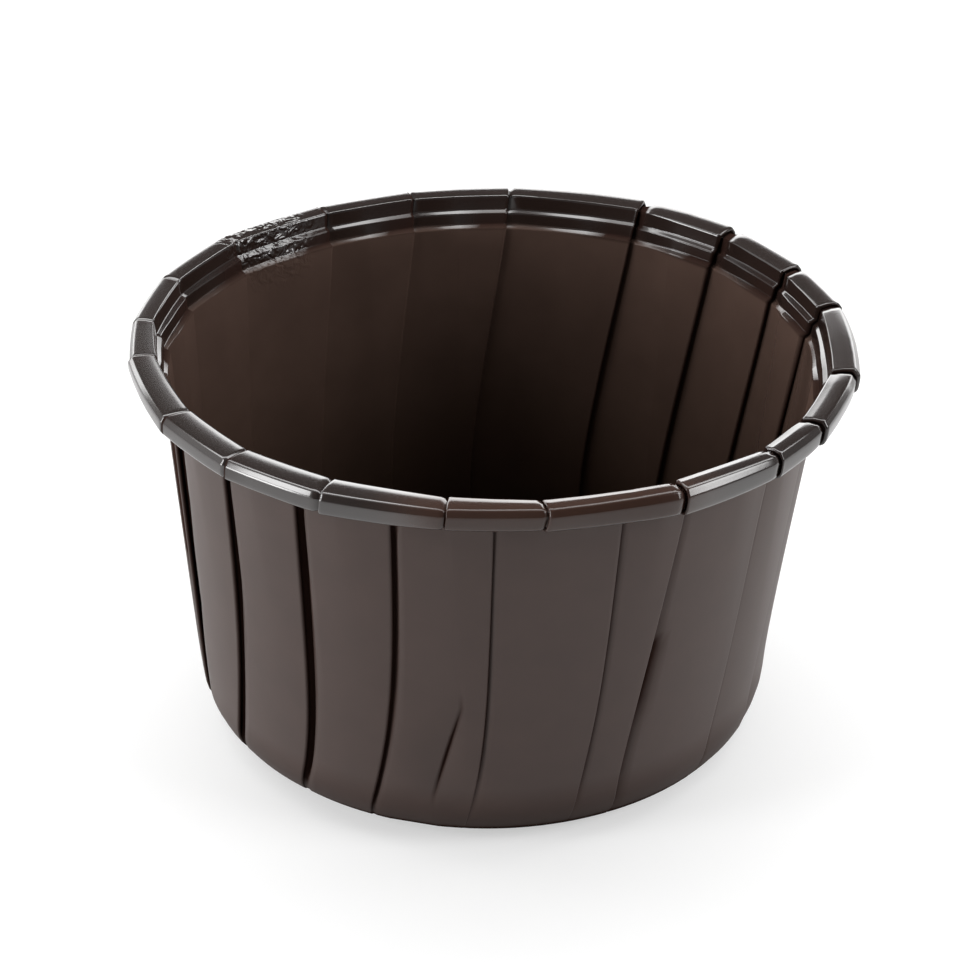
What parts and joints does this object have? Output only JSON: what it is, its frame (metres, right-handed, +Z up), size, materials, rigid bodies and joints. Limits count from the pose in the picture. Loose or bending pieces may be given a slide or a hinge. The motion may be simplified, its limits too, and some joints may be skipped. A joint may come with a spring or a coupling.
{
  "type": "cupcake liner",
  "caption": "Free-standing baking cup of pleated dark brown paper, with a flat base, a slightly tapered wall and a rim rolled outwards.",
  "frame": {"origin": "centre of the base on the table, below the middle of the rim", "axes": "+Z up along the cup's axis, -Y towards the viewer of the picture, +X to the viewer's right"},
  "size_m": [0.0663, 0.0663, 0.0391],
  "materials": {
    "paper": "coated greaseproof paper, satin outside and glossy inside and on the rolled rim"
  },
  "bodies": {
    "root": {"liner": "paper"}
  },
  "joints": []
}
